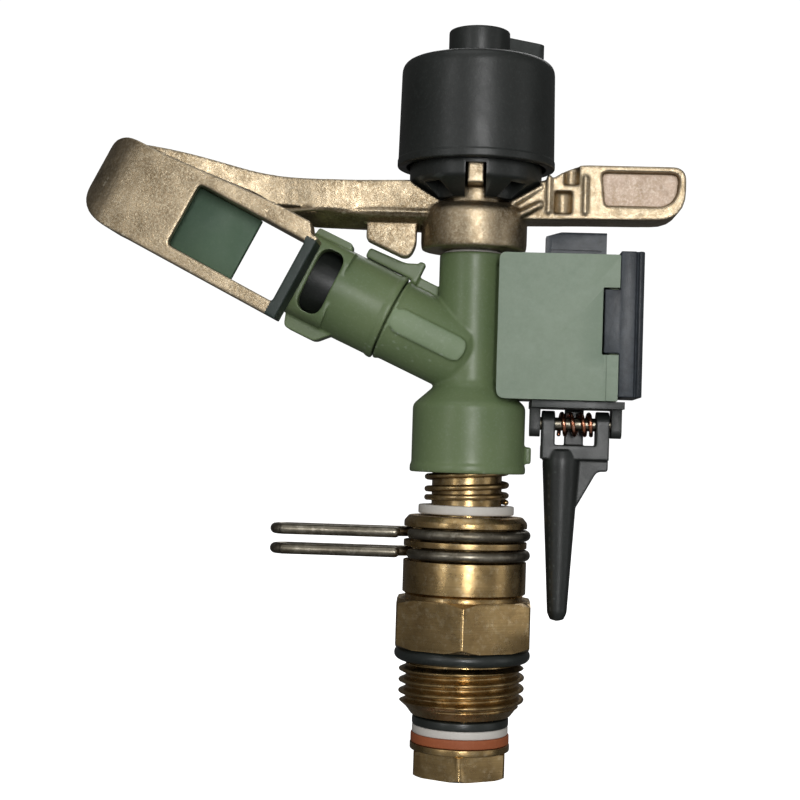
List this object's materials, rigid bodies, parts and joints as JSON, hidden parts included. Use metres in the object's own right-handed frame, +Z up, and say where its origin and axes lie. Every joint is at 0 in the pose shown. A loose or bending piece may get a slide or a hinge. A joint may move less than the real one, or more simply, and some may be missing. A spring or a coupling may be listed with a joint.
{
  "type": "impact sprinkler",
  "caption": "Part-circle impact irrigation sprinkler: threaded brass inlet, plastic body with inclined nozzle, sprung brass hammer arm and a reversing mechanism set by wire trip collars.",
  "frame": {"origin": "on the spin axis, in the plane of the underside of the inlet hexagon, where the inlet thread begins", "axes": "+Z up along the spin axis; the nozzle points towards -X and up; the reversing mechanism is on the +X side; -Y is the front, where the spoon's window faces"},
  "size_m": [0.0988, 0.0282, 0.1246],
  "materials": {
    "cast_brass": "tumbled cast",
    "turned_brass": "turned, lightly tarnished",
    "spring_steel": "dull wire",
    "copper_wire": "bright wire",
    "green_plastic": "moulded satin",
    "cover_plastic": "moulded satin, paler",
    "liner_plastic": "moulded matt",
    "black_plastic": "moulded fine grain",
    "white_plastic": "washer stock",
    "fibre": "pressed fibre",
    "rubber": "moulded, slightly glossy"
  },
  "bodies": {
    "inlet": {"inlet_nipple": "turned_brass", "inlet_seal_ring": "rubber"},
    "collar_upper": {"trip_collar_upper": "spring_steel"},
    "collar_lower": {"trip_collar_lower": "spring_steel"},
    "rotor": {"bearing_stem": "turned_brass", "washer_rubber": "rubber", "washer_plastic": "white_plastic", "washer_fibre": "fibre", "washer_upper": "white_plastic", "bearing_spring": "turned_brass", "sprinkler_body": "green_plastic", "nozzle_nut": "green_plastic", "nozzle": "black_plastic", "nozzle_seal": "rubber", "arm_pin": "spring_steel", "thrust_washer": "white_plastic", "spring_cap": "black_plastic", "clamp_screw": "spring_steel", "mechanism_housing": "green_plastic", "housing_cover": "cover_plastic", "clip_cover": "black_plastic", "lever_bracket": "black_plastic", "trip_pivot_pin": "spring_steel", "reversing_pivot_pin": "spring_steel", "toggle_spring": "copper_wire"},
    "arm": {"hammer_arm": "cast_brass", "spoon_insert": "liner_plastic", "arm_bushing": "white_plastic", "spring_seat": "black_plastic", "arm_spring": "spring_steel"},
    "adjuster": {"tension_adjuster": "black_plastic"},
    "trip_lever": {"trip_lever": "black_plastic"},
    "reversing_lever": {"reversing_lever": "black_plastic"}
  },
  "joints": [
    {"name": "body_spin", "type": "hinge", "parent": "inlet", "child": "rotor", "pos_m": [0, 0, 0.01], "axis": [0, 0, 1], "range_deg": [-110, 110]},
    {"name": "collar_upper_turn", "type": "hinge", "parent": "inlet", "child": "collar_upper", "pos_m": [0, 0, 0.0188], "axis": [0, 0, 1], "range_deg": [-20, 20]},
    {"name": "collar_lower_turn", "type": "hinge", "parent": "inlet", "child": "collar_lower", "pos_m": [0, 0, 0.0155], "axis": [0, 0, 1], "range_deg": [-20, 20]},
    {"name": "arm_swing", "type": "hinge", "parent": "rotor", "child": "arm", "pos_m": [0, 0, 0.07], "axis": [0, 0, 1], "range_deg": [0, 110], "stiffness_Nm_per_rad": 0.006, "springref_deg": -40.11},
    {"name": "adjuster_turn", "type": "hinge", "parent": "rotor", "child": "adjuster", "pos_m": [0, 0, 0.1], "axis": [0, 0, 1], "range_deg": [-60, 60]},
    {"name": "trip_lever_swing", "type": "hinge", "parent": "rotor", "child": "trip_lever", "pos_m": [0.0178, 0, 0.03765], "axis": [1, 0, 0], "range_deg": [-18, 18]},
    {"name": "reversing_swing", "type": "hinge", "parent": "rotor", "child": "reversing_lever", "pos_m": [0.01715, 0, 0.05275], "axis": [1, 0, 0], "range_deg": [-12, 12]}
  ],
  "couplings": [
    {"joint": "reversing_swing", "follows": "trip_lever_swing", "ratio": -0.6}
  ]
}
